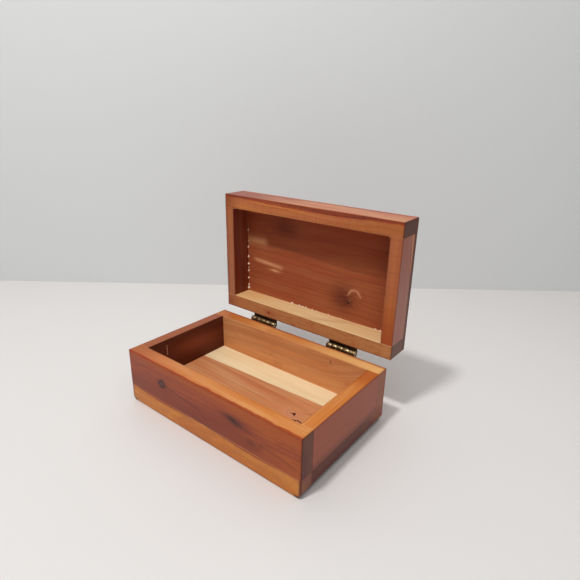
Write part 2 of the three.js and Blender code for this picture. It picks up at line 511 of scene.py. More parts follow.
def near_face(paint, depth, node, side, start=0.1, stop=0.4):
    """1 on one face of a board, fading out from start to stop millimetres behind it."""
    face, sign = mark(node, side), side[1]
    return paint.smooth(depth * sign, face * sign - stop, face * sign - start)


def sawn_ends(paint, x, start=0.05, stop=0.6):
    """1 on the sawn ends of a full length board, fading over the first stop millimetres."""
    end = mark("body_bottom_board", RIGHT)
    return paint.smooth(abs(x), end - stop, end - start)


# ---------------------------------------------------------------- boards


def arc_stops(half, radius, count):
    """Grid lines over a rounded edge, closer together towards the flat of the board."""
    steps = np.arange(count + 1) * (math.pi / 4) / count
    return half - radius + radius * np.tan(steps)


def axis_stops(half, radii, step, extra):
    """Grid lines over one axis of a board: an even grid, with more lines near the edges."""
    beside = np.array([0.25, 1.0, 2.2]) * MM
    closest = 0.02 * MM
    lines = [np.asarray(extra, float)]
    widest = 0.0
    for sign, radius in radii:
        count = int(np.clip(round(radius / (0.35 * MM)), 2, 8))
        lines.append(sign * arc_stops(half, radius, count))
        lines.append(sign * (half - radius - beside))
        widest = max(widest, radius)
    inner = half - widest - beside[-1]
    if inner > 0:
        lines.append(np.linspace(-inner, inner, max(2, math.ceil(2 * inner / step) + 1)))
    stops = np.unique(np.round(np.concatenate(lines), 7))
    stops = stops[np.abs(stops) < half - closest]
    keep = np.concatenate([[True], np.diff(stops) > closest])
    return np.concatenate([[-half], stops[keep], [half]])


def box_grid(stops):
    """Six flat grids that share their border points: unique points and outward quads."""
    points, quads, total = [], [], 0
    for axis in range(3):
        u, v = (axis + 1) % 3, (axis + 2) % 3
        for side in (0, -1):
            grid_u, grid_v = np.meshgrid(stops[u], stops[v], indexing="ij")
            place = np.empty((*grid_u.shape, 3))
            place[..., axis] = stops[axis][side]
            place[..., u], place[..., v] = grid_u, grid_v
            number = total + np.arange(grid_u.size).reshape(grid_u.shape)
            corners = [number[:-1, :-1], number[1:, :-1], number[1:, 1:], number[:-1, 1:]]
            if side == 0:
                corners.reverse()
            quads.append(np.stack([corner.ravel() for corner in corners], axis=1))
            points.append(place.reshape(-1, 3))
            total += grid_u.size
    stacked = np.concatenate(points)
    _, first, again = np.unique(
        np.round(stacked, 8), axis=0, return_index=True, return_inverse=True)
    return stacked[first], again.ravel()[np.concatenate(quads)]


def round_edges(points, half, edges):
    """Rounds a box's edges.

    Where a point lies less than the radius from both faces of an edge, its offset from the
    round's centre line is cut down to the radius. Each edge's radius varies a little along
    it, and an edge with a span keeps its full radius only inside that span. Gives the points
    and how near each is to a rounded edge: a bell of its distance to the nearest one.
    """
    edge_nearness = np.zeros(len(points))
    flat = points.copy()
    for number, ((first, second), (radius, crisp, span)) in enumerate(edges.items()):
        i, sign_i = first
        j, sign_j = second
        k = 3 - i - j
        along = flat[:, k]
        sway = 0.12 * np.sin(130.0 * along + 2.1 * number)
        sway += 0.08 * np.sin(410.0 * along + 4.7 * number)
        size = radius * (1.0 + (sway if radius < 2 * MM else 0.02 * sway))
        if span is not None:
            inside = np.clip((span - np.abs(along)) / SPAN_END, 0.0, 1.0)
            size = crisp + (size - crisp) * inside
        past_i = sign_i * points[:, i] - (half[i] - size)
        past_j = sign_j * points[:, j] - (half[j] - size)
        length = np.hypot(past_i, past_j)
        over = (past_i > 0) & (past_j > 0) & (length > size)
        scale = np.where(over, size / np.maximum(length, 1e-9), 1.0)
        points[:, i] += np.where(over, sign_i * past_i * (scale - 1.0), 0.0)
        points[:, j] += np.where(over, sign_j * past_j * (scale - 1.0), 0.0)
        if radius > crisp:
            gap = np.hypot(half[i] - sign_i * flat[:, i], half[j] - sign_j * flat[:, j])
            edge_nearness = np.maximum(edge_nearness, np.exp(-((gap / EDGE_REACH) ** 2)) * (size > crisp))
    return points, edge_nearness


def show(name, body, points, faces, material, attributes=None):
    """Makes a piece from points and faces and lets it ride on its body."""
    mesh = bpy.data.meshes.new(name)
    mesh.from_pydata(points.tolist(), [], faces)
    mesh.polygons.foreach_set("use_smooth", np.ones(len(mesh.polygons), bool))
    for title, values in (attributes or {}).items():
        layer = mesh.attributes.new(title, "FLOAT", "POINT")
        layer.data.foreach_set("value", values.astype(np.float32))
    mesh.materials.append(material)
    mesh.update()
    piece = bpy.data.objects.new(name, mesh)
    bpy.context.scene.collection.objects.link(piece)
    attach(piece, body)
    return piece


class Hollow(NamedTuple):
    """A dent in a face: its centre, its half sizes, its depth, and how ragged it is."""

    face: tuple
    centre: tuple
    size: tuple
    depth: float
    ragged: float = 0.25


def press(points, hollow, flat):
    """Sinks the points of one face, and of the edges round it, by a soft bell with steep sides.

    flat holds the same points before their edges were rounded, in the object's own frame.
    """
    normal_axis, sign = hollow.face
    offset = (flat - np.array(hollow.centre)) / np.array(hollow.size)
    offset[:, normal_axis] *= 0.5
    u, v = (normal_axis + 1) % 3, (normal_axis + 2) % 3
    turn = np.arctan2(offset[:, v], offset[:, u])
    reach = np.linalg.norm(offset, axis=1)
    reach *= 1.0 + hollow.ragged * (np.sin(3 * turn + 1.0) + 0.6 * np.sin(7 * turn)) / 1.6
    share = 1.0 / (1.0 + np.exp(9.0 * (reach - 1.0)))
    points[:, normal_axis] -= sign * hollow.depth * share
    return points, share


def board(node, name, body, material, eased, glued=(), hollows=()):
    """Makes one board in the place of its node.

    The board is a box of six grids. Its exposed edges, in eased, are rounded; the rest stay
    crisp. Its glued faces are moved out to close the joint.
    """
    settings = wood()
    low, high = (np.array(corner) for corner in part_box(node))
    for axis, sign in glued:
        end = high if sign > 0 else low
        end[axis] += sign * GLUE_GAP
    half, middle = (high - low) / 2, (high + low) / 2

    crisp = settings.glued_edge
    edges = {}
    for first in (LEFT, RIGHT, FRONT, BACK):
        for second in (FRONT, BACK, BELOW, ABOVE):
            if second[0] > first[0]:
                edges[(first, second)] = (crisp, crisp, None)
    for pair, value in eased.items():
        radius, span = value if isinstance(value, tuple) else (value, None)
        edges[pair] = (radius, crisp, span)

    extra = [[], [], []]
    for hollow in hollows:
        for axis in range(3):
            if axis != hollow.face[0]:
                spread = np.linspace(-1.7, 1.7, 23) * hollow.size[axis]
                extra[axis].extend(hollow.centre[axis] - middle[axis] + spread)
    for _, _, span in edges.values():
        if span is not None:
            extra[X if half[X] > half[Y] else Y].extend(
                [-span, span, SPAN_END - span, span - SPAN_END])
    stops = []
    for axis in range(3):
        radii = {
            (side[1], radius)
            for pair, (radius, _, _) in edges.items()
            for side in pair if side[0] == axis
        }
        stops.append(axis_stops(half[axis], sorted(radii), settings.grid_step, extra[axis]))

    flat, quads = box_grid(stops)
    points, edge_nearness = round_edges(flat.copy(), half, edges)
    pit = np.zeros(len(points))
    for hollow in hollows:
        axis, sign = hollow.face
        facing = sign * flat[:, axis] > half[axis] - DENT_DEPTH
        sunk, share = press(points.copy(), hollow, flat + middle)
        points = np.where(facing[:, None], sunk, points)
        pit = np.maximum(pit, share * facing)
    piece = show(
        name, body, points + middle, quads.tolist(), material,
        {"edge": edge_nearness, "pit": pit})
    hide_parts(node)
    return piece


def outer(*pairs):
    """The radius of a sanded outer edge for each of these pairs of sides."""
    return {pair: wood().outer_edge for pair in pairs}


def end_walls(owner, prefix, body, material, rim, glued):
    """Makes the left and right end walls of the body or the lid; rim is where it opens."""
    for side, outside, inside in (("left", LEFT, RIGHT), ("right", RIGHT, LEFT)):
        eased = outer((outside, rim))
        eased[(inside, rim)] = wood().rim_edge
        board(f"{owner}_{side}_end", f"{prefix}{side}_end_wall", body, material,
              eased, glued=glued)


# ---------------------------------------------------------------- woods of the body


def front_board_wood():
    """Heartwood on the outside that turns to sapwood a little way in from the rim's edge."""
    colours, paint = wood(), Paint("front_board_cedar")
    x, y, z = paint.place()
    cut = Cut(
        pith=(17.0, -98.0), spacing=ring_spacing() * 0.9, slope=-0.012, wander=7.0, seed=2.0,
        knots=(FRONT_KNOT, FRONT_TEAR, FRONT_BLOTCH),
    )
    grain = grow(paint, x, z, y, cut)
    red = tint(
        paint, grain, colours.heartwood, paint.mix(
            paint.smooth(x, -10.0, 60.0), colours.heartwood, colours.orange), colours.purple)
    mottle = paint.noise(grain.place, (0.09, 0.35, 0.35), 37.0, 4.0, 0.65)
    red = paint.mix(paint.smooth(mottle, 0.5, 0.75) * 0.5, red, colours.purple)
    red = paint.mix(paint.fade(mottle, 0.3, 0.45) * 0.35, red, colours.orange)
    low_purple = paint.fade(z + grain.cloud * 14.0, 27.0, 40.0) * paint.fade(x, 20.0, 74.0)
    red = paint.mix(low_purple * 0.7, red, colours.purple)
    warm_top = paint.smooth(z + grain.streak * 6.0 + x * 0.035, 37.0, 46.0)
    red = paint.mix(warm_top * 0.75, red, colours.orange)

    ragged = paint.noise(grain.place, (0.12, 0.6, 0.6), 31.0, 4.0, 0.6)
    depth = y - mark("body_front_board", FRONT)
    skin = depth + (ragged - 0.5) * 4.6
    scarlet_line = paint.bell(skin - 0.9, 0.7) * paint.smooth(z, 40.0, 43.0)
    sap = paint.smooth(skin, 0.7, 1.3) * paint.smooth(z + depth * 2.0, 36.0, 46.0)
    sap = paint.greatest(sap, paint.smooth(depth, 3.75, 8.75))
    rim = between(colours.tan, colours.honey, 0.25)
    pale = between(colours.tan, colours.honey, 0.8)
    light = tint(paint, grain, rim, pale, colours.orange, 0.9)
    left_tint = paint.fade(x + grain.streak * 40.0, -60.0, 20.0) * 0.8
    light = paint.mix(left_tint, light, colours.orange)
    light = paint.deepen(paint.fade(x, -78.0, -48.0), light, (0.8, 0.78, 0.7))
    bare = near_face(paint, y, "body_front_board", BACK, 0.15, 0.5)
    light = paint.mix(bare, light, colours.bare_tan)
    colour = paint.mix(sap, red, light)
    colour = paint.mix(scarlet_line * 0.75, colour, colours.scarlet)
    colour = front_marks(paint, colours, x, z, grain, paint.fade(depth, 3.75, 6.75), colour)
    ends = paint.mix(grain.line * 0.5, colours.end_grain, colours.purple)
    colour = paint.mix(sawn_ends(paint, x) * 0.9, colour, ends)
    chip = paint.attribute("pit")
    colour = paint.mix(paint.smooth(chip, 0.2, 0.6), colour, colours.knot)
    return varnish(paint, grain, colour, 1.0 - bare)


def front_marks(paint, colours, x, z, grain, outside, colour):
    """The knot ring, the tear and the dark streaks on the body's front."""
    wobble = (paint.noise(grain.place, (0.3, 0.3, 0.3), 41.0, 2.0) - 0.5) * 1.6
    knot_reach = paint.distance(
        (x - FRONT_KNOT.along) * 0.9, z - FRONT_KNOT.across) + wobble
    knot_ring = paint.bell(knot_reach - 2.5, 1.0)
    knot_heart = paint.fade(knot_reach, 1.4, 2.6)
    halo = paint.spot(x, z, (-42.6, 27.9), (5.4, 3.0))
    colour = paint.mix(halo * outside * 0.65, colour, (0.12, 0.026, 0.018))
    colour = paint.mix(knot_heart * outside * 0.8, colour, (0.14, 0.045, 0.035))
    colour = paint.mix(knot_ring * outside, colour, (0.045, 0.012, 0.011))
    tail = paint.stroke(x, z, (-40.0, 28.3), (-2.0, 23.4), 0.8, 5.0)
    before = paint.stroke(x, z, (-64.0, 31.4), (-47.0, 29.4), 0.7, 5.0)
    after = paint.stroke(x, z, (12.0, 32.6), (27.0, 31.2), 1.3, 7.0)
    slanted = z + (x - FRONT_TEAR.along) * 0.3 + grain.fibre * 1.4
    tear = paint.spot(x, slanted, (28.0, 31.6), (5.6, 1.8))
    tear_tail = paint.stroke(x, z, (30.0, 30.4), (46.0, 27.4), 0.7, 5.0)
    blotch = paint.spot(x, z, (FRONT_BLOTCH.along, FRONT_BLOTCH.across), (6.5, 2.6))
    lower_streak = paint.stroke(x, z, (46.0, 24.0), (78.0, 20.8), 1.0, 6.0)
    marks = paint.greatest(
        tail * 0.5, before * 0.4, after * 0.4, tear_tail * 0.45, blotch * 0.55,
        lower_streak * 0.35)
    colour = paint.mix(marks * outside, colour, (0.11, 0.022, 0.014))
    shade = paint.spot(x, z, (29.5, 31.0), (11.0, 3.6)) * 0.75
    colour = paint.mix(shade * outside, colour, (0.12, 0.024, 0.016))
    return paint.mix(tear * outside, colour, colours.knot)


def back_board_wood():
    """Tan wood whose growth lines rise in long arcs to the right."""
    colours, paint = wood(), Paint("back_board_cedar")
    x, y, z = paint.place()
    past = paint.greatest(x - 24.8, 0.0)
    before = paint.greatest(-12.0 - x, 0.0)
    arc = past * past * 0.0058 - before * before * 0.0011
    cut = Cut(pith=(-60.0, 38.0), spacing=ring_spacing() * 4.2, wander=5.0, seed=14.0,
              knots=(BACK_SPECK,))
    grain = grow(paint, x, z, y, cut, arc)
    bare = near_face(paint, y, "body_back_board", FRONT, 0.15, 0.5)
    inside = tint(paint, grain, (0.78, 0.36, 0.145), (0.74, 0.31, 0.11), (0.5, 0.18, 0.07), 0.75)
    patch = paint.noise(grain.place, (0.05, 0.12, 0.12), 19.0, 3.0, 0.6)
    inside = paint.mix(paint.smooth(patch, 0.5, 0.68) * 0.45, inside, (0.6, 0.22, 0.08))
    speck = paint.spot(x, z, (BACK_SPECK.along, BACK_SPECK.across), (0.7, 1.2))
    inside = paint.mix(speck * 0.8, inside, colours.knot)
    rim = between(colours.tan, colours.honey, 0.4)
    light = tint(paint, grain, rim, colours.honey, colours.orange, 0.7)
    light = paint.mix(paint.fade(x, -70.0, -5.0) * 0.5, light, colours.orange)
    light = paint.deepen(paint.fade(x, -70.0, -30.0), light, (0.84, 0.78, 0.66))
    light = paint.mix(paint.smooth(x, 0.0, 70.0) * 0.85, light, (0.84, 0.47, 0.17))
    colour = paint.mix(bare, light, inside)
    red_back = tint(paint, grain, colours.heartwood, colours.orange, colours.purple)
    outer_face = paint.smooth(y + grain.cloud * 3.0, 48.5, 51.5)
    colour = paint.mix(outer_face * 0.85, colour, red_back)
    ends = between(colours.heartwood, colours.end_grain, 0.3)
    ends = paint.mix(grain.line * 0.3, ends, colours.purple)
    colour = paint.mix(sawn_ends(paint, x) * 0.9, colour, ends)
    return varnish(paint, grain, colour, 1.0 - bare)


def end_board_wood():
    """Red-brown ends with a lighter rim; painted shade and a painted sheen inside the left one."""
    colours, paint = wood(), Paint("end_board_cedar")
    x, y, z = paint.place()
    cut = Cut(pith=(70.0, 30.0), spacing=ring_spacing() * 1.4, slope=0.02, wander=8.0, seed=27.0)
    grain = grow(paint, y, z, abs(x), cut)
    red = tint(paint, grain, colours.heartwood, colours.heartwood, colours.purple, 0.3)
    # darker towards the bottom
    red = paint.mix(paint.fade(z + grain.cloud * 5.0, 17.0, 23.0) * 0.45, red, colours.end_grain)
    rim = paint.smooth(z + grain.streak, 43.2, 43.9) * paint.fade(abs(x), 82.0, 82.4)
    rim_tan = between(colours.tan, colours.honey, 0.2)
    light = tint(paint, grain, rim_tan, colours.honey, colours.orange, 0.8)
    light = paint.mix(paint.smooth(y + grain.cloud * 16.0, 14.0, 38.0) * 0.85, light, colours.orange)
    left = paint.fade(x, -20.0, 20.0)
    light = paint.mix(left * 0.95, light, (0.33, 0.08, 0.022))
    colour = paint.mix(rim, red, light)
    bare = near_face(paint, abs(x), "body_right_end", LEFT)
    inside = tint(paint, grain, colours.bare_heartwood, colours.orange, (0.26, 0.07, 0.035))
    # painted shade over the inside of the left end wall
    inside = paint.deepen(left, inside, (0.25, 0.21, 0.3))
    # painted sheen: a lighter streak laid over that painted shade
    lit = paint.spot(y + z, z, (38.0, 30.0), (24.0, 8.0)) * (grain.streak + 0.2)
    inside = paint.mix(left * lit * 0.8, inside, (0.4, 0.1, 0.043))
    colour = paint.mix(bare, colour, inside)
    return varnish(paint, grain, colour, 1.0 - bare, gloss=0.18)


def floor_wood(paint, colours, x, y, grain):
    """The heartwood of the floor: dark lines, and a pink spot with curls round the knot hole."""
    inside = tint(
        paint, grain, colours.bare_heartwood, colours.bare_tan, (0.36, 0.105, 0.05), 0.7)
    inside = paint.mix(paint.smooth(x, 0.0, 60.0) * 0.5, inside, (0.66, 0.29, 0.12))
    fine_lines = paint.greatest(
        paint.stroke(x, y, (-66.0, 1.4), (12.0, -0.6), 0.32, 6.0),
        paint.stroke(x, y, (-60.0, -3.0), (20.0, -6.5), 0.3, 8.0) * 0.8,
        paint.stroke(x, y, (-52.0, 5.6), (24.0, 3.0), 0.25, 8.0) * 0.6,
        paint.stroke(x, y, (44.0, 3.0), (69.0, 14.0), 0.7, 5.0) * 0.8)
    inside = paint.mix(fine_lines * 0.6, inside, (0.3, 0.08, 0.04))
    pink = paint.spot(x, y, (37.5, -3.0), (7.0, 4.6))
    inside = paint.mix(pink * 0.55, inside, (0.66, 0.3, 0.17))
    swirl = paint.distance((x - 38.5) * 0.75, y + 2.0)
    curls = paint.maths("SINE", swirl * 3.4 + grain.streak * 5.0) * paint.fade(swirl, 3.0, 6.5)
    return paint.mix(paint.smooth(curls, 0.3, 1.0) * 0.4, inside, (0.36, 0.1, 0.05))


def bottom_board_wood():
    """Heartwood between two sapwood edges; the back one is the cream strip of the floor."""
    colours, paint = wood(), Paint("bottom_board_cedar")
    x, y, z = paint.place()
    cut = Cut(
        pith=(-5.0, 92.0), spacing=ring_spacing() * 1.2, slope=0.01, wander=6.0, seed=45.0,
        knots=(FLOOR_KNOT,))
    grain = grow(paint, x, y, z, cut)
    wave = paint.maths("COSINE", (x + 2.0) * (2 * math.pi / 84.0)) * 0.9 + 12.4
    ragged = (paint.noise(grain.place, (0.12, 0.5, 0.5), 51.0, 3.0) - 0.5) * 1.2
    top = mark("body_bottom_board", ABOVE)
    front_side = y - mark("body_bottom_board", FRONT) + (z - wave) * 0.89 + ragged
    back_side = y - 17.7 - x * 0.03 + (top - z) * 0.1 + ragged * 0.6
    heart = paint.smooth(front_side, -0.2, 0.35) * paint.fade(back_side, -0.25, 0.25)

    bare = near_face(paint, z, "body_bottom_board", ABOVE, 0.2, 0.5)
    red = tint(paint, grain, colours.heartwood, colours.orange, colours.purple)
    red = paint.mix(bare, red, floor_wood(paint, colours, x, y, grain))

    light = tint(paint, grain, colours.tan, (0.68, 0.25, 0.05), colours.orange, 0.4)
    blotch = paint.noise(grain.place, (0.07, 0.16, 0.16), 57.0, 3.0, 0.6)
    light = paint.mix(paint.smooth(blotch, 0.48, 0.66) * 0.6, light, (0.52, 0.16, 0.04))
    light = paint.mix(paint.fade(blotch, 0.34, 0.46) * 0.6, light, (0.74, 0.29, 0.05))
    cream = tint(paint, grain, colours.cream, (0.9, 0.72, 0.44), (0.72, 0.47, 0.24), 0.45)
    light = paint.mix(bare, light, cream)
    colour = paint.mix(heart, light, red)
    line = paint.bell(back_side, 0.35) * bare
    colour = paint.mix(line * 0.35, colour, colours.orange)
    muted = paint.fade(y + ragged * 1.5, -41.5, -39.0) * paint.smooth(y, -50.3, -49.3)
    ends = paint.mix(muted * 0.75, colours.end_grain, (0.34, 0.12, 0.06))
    ends = paint.mix(paint.smooth(y + z * 1.2, 38.0, 52.0) * 0.6, ends, colours.heartwood)
    ends = paint.mix(grain.streak * 0.5, ends, colours.purple)
    colour = paint.mix(sawn_ends(paint, x, 0.1, 2.5) * 0.92, colour, ends)
    # painted shadow: near black under the rounded lower ends, where the board meets the floor
    contact_shade = paint.fade(z, 0.8, 3.2) * paint.smooth(abs(x), 76.0, 79.5)
    colour = paint.mix(contact_shade * 0.9, colour, colours.knot)
    hole = paint.attribute("pit")
    colour = paint.mix(paint.smooth(hole, 0.15, 0.55), colour, colours.knot)
    return varnish(paint, grain, colour, 1.0 - bare)


# ---------------------------------------------------------------- woods of the lid


def lid_wall_wood(name, length_axis, seed):
    """Orange-brown walls, darker towards the left."""
    colours, paint = wood(), Paint(name)
    place = paint.place()
    x, y, z = place
    along, out = (x, z) if length_axis == X else (z, x)
    cut = Cut(pith=(150.0 if length_axis == X else 40.0, 120.0), spacing=ring_spacing() * 1.3,
              slope=0.012, wander=6.0, seed=seed)
    grain = grow(paint, along, y, out, cut)
    usual = between(colours.tan, (0.5, 0.17, 0.075), 0.6)
    colour = tint(paint, grain, usual, between(colours.tan, colours.honey, 0.3),
                  colours.heartwood, 0.9)
    colour = paint.mix(paint.smooth(grain.cloud, 0.4, 0.7) * 0.4, colour, colours.orange)
    colour = paint.deepen(paint.fade(x, -82.0, -62.0), colour, (0.58, 0.47, 0.45))
    colour = paint.deepen(paint.smooth(x, 10.0, 70.0), colour, (0.82, 0.8, 0.78))
    return colours, paint, place, grain, colour


def lid_ticks(paint, along, y, seed):
    """Fine marks across the flat of the lid's rim, left by the saw."""
    rim = mark("lid_front_board", FRONT)
    fine = paint.noise(paint.point(along, seed, 0.0), (0.8, 1.0, 1.0), seed, 3.0, 0.8)
    return paint.smooth(fine, 0.48, 0.66) * paint.fade(y, rim + 0.1, rim + 0.6)


def lid_front_wood():
    """The lid's front wall: dark red heartwood on its outer face, under a painted pink reflection.
    """
    colours, paint, place, grain, light = lid_wall_wood("lid_front_cedar", X, 61.0)
    x, y, z = place
    ragged = (paint.noise(grain.place, (0.15, 0.4, 0.6), 63.0, 3.0) - 0.5) * 1.6
    thickness = paint.smooth(x, -90.0, 10.0) * 2.2 + 1.5 - paint.smooth(x, 20.0, 82.0) * 1.4
    layer = z - mark("lid_front_board", ABOVE) + thickness + ragged
    deep = between(colours.heartwood, colours.purple, 0.6)
    red = tint(paint, grain, deep, colours.heartwood, colours.end_grain)
    colour = paint.mix(paint.smooth(layer, -0.2, 0.3), light, red)
    colour = paint.mix(paint.bell(layer, 0.4) * 0.6, colour, colours.scarlet)
    above = near_face(paint, z, "lid_front_board", ABOVE, 0.1, 0.5)
    # Outer face: partly the wood's own rosy colour, partly a painted pinkish reflection, painted
    # weaker towards the left and in one oval.
    rosy_wood_and_reflection = tint(paint, grain, (0.52, 0.17, 0.072), (0.62, 0.27, 0.12), colours.heartwood)
    darker = paint.greatest(
        paint.fade(x, -66.0, 4.0), paint.spot(x, y, (-26.0, 72.0), (16.0, 5.0)) * 0.9)
    rosy_wood_and_reflection = paint.mix(darker * 0.95, rosy_wood_and_reflection, deep)
    colour = paint.mix(above, colour, rosy_wood_and_reflection)
    colour = paint.mix(sawn_ends(paint, x) * 0.92, colour, colours.end_grain)
    bare = near_face(paint, z, "lid_front_board", BELOW)
    ticks = lid_ticks(paint, x, y, 3.0)
    colour = paint.mix(ticks * 0.3, colour, colours.heartwood)
    colour = paint.mix(bare, colour, colours.bare_heartwood)
    return varnish(paint, grain, colour, 1.0 - bare, ticks)


def lid_back_wood():
    """The lid's back wall: cream inside, orange-brown on its rim."""
    colours, paint, place, grain, light = lid_wall_wood("lid_back_cedar", X, 67.0)
    x, y, z = place
    bare = near_face(paint, z, "lid_back_board", ABOVE)
    cream = tint(paint, grain, (0.82, 0.53, 0.25), (0.86, 0.62, 0.33), (0.58, 0.29, 0.11), 0.8)
    slant = paint.bell(x - 22.0 - (y - 64.0) * 2.2, 7.0)
    cream = paint.mix(slant * 0.35, cream, (0.56, 0.27, 0.1))
    cream = paint.mix(paint.fade(x, -66.0, -30.0) * 0.6, cream, (0.78, 0.42, 0.15))
    light = paint.mix(paint.smooth(x, -84.0, -50.0) * 0.8, light, (0.6, 0.28, 0.11))
    blush = paint.spot(x, z, (-32.0, 52.4), (7.0, 3.0))
    light = paint.mix(blush * 0.6, light, (0.42, 0.07, 0.035))
    speck = paint.spot(x, z, (-33.6, 52.4), (1.1, 0.8)) * paint.fade(y, 56.0, 58.0)
    light = paint.mix(speck, light, (0.16, 0.008, 0.008))
    mottle = paint.noise(grain.place, (0.12, 0.4, 0.4), 69.0, 4.0, 0.6)
    light = paint.mix(paint.smooth(mottle, 0.48, 0.68) * 0.55, light, (0.46, 0.12, 0.04))
    ticks = lid_ticks(paint, x, y, 5.0)
    light = paint.mix(ticks * 0.15, light, colours.heartwood)
    colour = paint.mix(bare, light, cream)
    red = tint(paint, grain, colours.heartwood, colours.orange, colours.purple)
    low = mark("lid_back_board", BELOW)
    colour = paint.mix(paint.fade(z + grain.cloud * 2.0, low + 0.6, low + 2.2) * 0.85, colour, red)
    colour = paint.mix(sawn_ends(paint, x) * 0.85, colour, colours.end_grain)
    return varnish(paint, grain, colour, 1.0 - bare, ticks)


def lid_end_wood():
    """The lid's ends: orange-brown rims with saw marks, red-brown outside."""
    colours, paint, place, grain, light = lid_wall_wood("lid_end_cedar", Z, 73.0)
    x, y, z = place
    width = abs(x)
    light = paint.mix(paint.bell(width - 77.5, 1.6) * 0.3, light, colours.tan)
    light = paint.mix(paint.smooth(x, 0.0, 20.0) * 0.35, light, colours.orange)
    low = paint.smooth(x, 0.0, 20.0) * paint.fade(z + grain.cloud * 20.0, 70.0, 100.0)
    light = paint.mix(low * 0.7, light, colours.heartwood)
    ticks = lid_ticks(paint, z, y, 9.0)
    light = paint.mix(ticks * 0.5, light, colours.heartwood)
    red = tint(paint, grain, colours.heartwood, (0.42, 0.12, 0.06), colours.purple, 0.7)
    outside = paint.smooth(width + grain.streak * 0.5, 82.1, 82.6)
    stripe = paint.smooth(y - 73.2 + (z - 109.0) * 0.11, -0.3, 0.3)
    stripe = stripe * paint.smooth(z, 104.0, 112.0)
    red = paint.mix(stripe * 0.8, red, colours.tan)
    colour = paint.mix(outside, light, red)
    bare = near_face(paint, width, "lid_right_end", LEFT)
    inside = tint(paint, grain, colours.bare_heartwood, colours.orange, colours.purple)
    # painted shade over the inside of the left end wall
    inside = paint.deepen(paint.fade(x, -20.0, 20.0), inside, (0.5, 0.42, 0.6))
    colour = paint.mix(bare, colour, inside)
    return varnish(paint, grain, colour, 1.0 - bare, ticks, gloss=0.4)


def lid_top_wood():
    """The lid's solid top: red-brown, with a knot, a dark cloud and pale patches inside."""
    colours, paint = wood(), Paint("lid_top_cedar")
    x, y, z = paint.place()
    cut = Cut(
        pith=(120.0, 20.0), spacing=ring_spacing() * 1.3, slope=-0.02, wander=9.0, seed=88.0,
        knots=(LID_KNOT, LID_BRANCH))
    grain = grow(paint, x, z, y, cut)
    bare = near_face(paint, y, "lid_top_board", FRONT, 0.2, 0.5)
    inside = tint(paint, grain, (0.41, 0.096, 0.034), (0.45, 0.13, 0.048), (0.22, 0.05, 0.02), 0.75)
    outside = tint(paint, grain, colours.heartwood, colours.orange, colours.purple)
    soft = paint.noise(grain.place, (0.1, 0.4, 0.4), 93.0, 3.0)
    patches = paint.greatest(
        paint.fade(x, -56.0, -47.0) * paint.bell(z - 109.0 + soft * 2.0, 3.3),
        paint.stroke(x, z, (-64.5, 90.6), (-34.0, 88.2), 1.7, 4.0),
        paint.spot(x, z, (-42.0, 84.2), (5.5, 1.3)))
    inside = paint.mix(patches * (soft * 0.7 + 0.45), inside, (0.8, 0.38, 0.18))
    cloud = paint.greatest(
        paint.spot(x, z, (29.0, 77.0), (11.0, 11.0)),
        paint.spot(x, z, (-30.0, 124.0), (13.0, 8.0)) * 0.8,
        paint.smooth(x, 48.0, 76.0) * 0.5)
    inside = paint.mix(cloud * (0.45 + soft * 0.65), inside, (0.11, 0.022, 0.013))
    arch = paint.distance(x - 38.7, (z - 79.5) * 0.9)
    torn = paint.noise(grain.place, (0.35, 0.9, 0.9), 97.0, 4.0, 0.7)
    rough = paint.smooth(torn, 0.52, 0.6) * paint.spot(x, z, (35.5, 79.0), (7.0, 6.0))
    inside = paint.mix(rough * 0.6, inside, (0.6, 0.22, 0.1))
    swirl = paint.bell(arch - 5.4 + (soft - 0.5) * 2.0, 0.9) * paint.smooth(z, 79.0, 82.0)
    inside = paint.mix(swirl * 0.7, inside, (0.74, 0.34, 0.18))
    heart = paint.distance((x - LID_KNOT.along) * 0.8, z - LID_KNOT.across)
    heart = heart + (soft - 0.5) * 3.0
    rings = paint.maths("SINE", heart * 2.9) * paint.fade(heart, 2.0, 6.5)
    inside = paint.mix(paint.smooth(rings, 0.2, 1.0) * 0.7, inside, (0.1, 0.025, 0.016))
    shaded = paint.smooth(z + x * 0.12 + soft * 8.0, 98.0, 128.0)
    inside = paint.deepen(shaded, inside, (0.78, 0.66, 0.62))
    colour = paint.mix(bare, outside, inside)
    colour = paint.mix(paint.fade(heart, 0.6, 2.0) * 0.85, colour, colours.knot)
    branch = paint.distance(x - LID_BRANCH.along, (z - LID_BRANCH.across) * 1.2)
    branch = paint.fade(branch + (soft - 0.5) * 2.0, 1.0, 2.6) * (1.0 - bare)
    colour = paint.mix(branch * 0.8, colour, colours.knot)
    colour = paint.mix(sawn_ends(paint, x, 0.1, 0.9) * 0.85, colour, colours.end_grain)
    return varnish(paint, grain, colour, 1.0 - bare)


# ---------------------------------------------------------------- brass


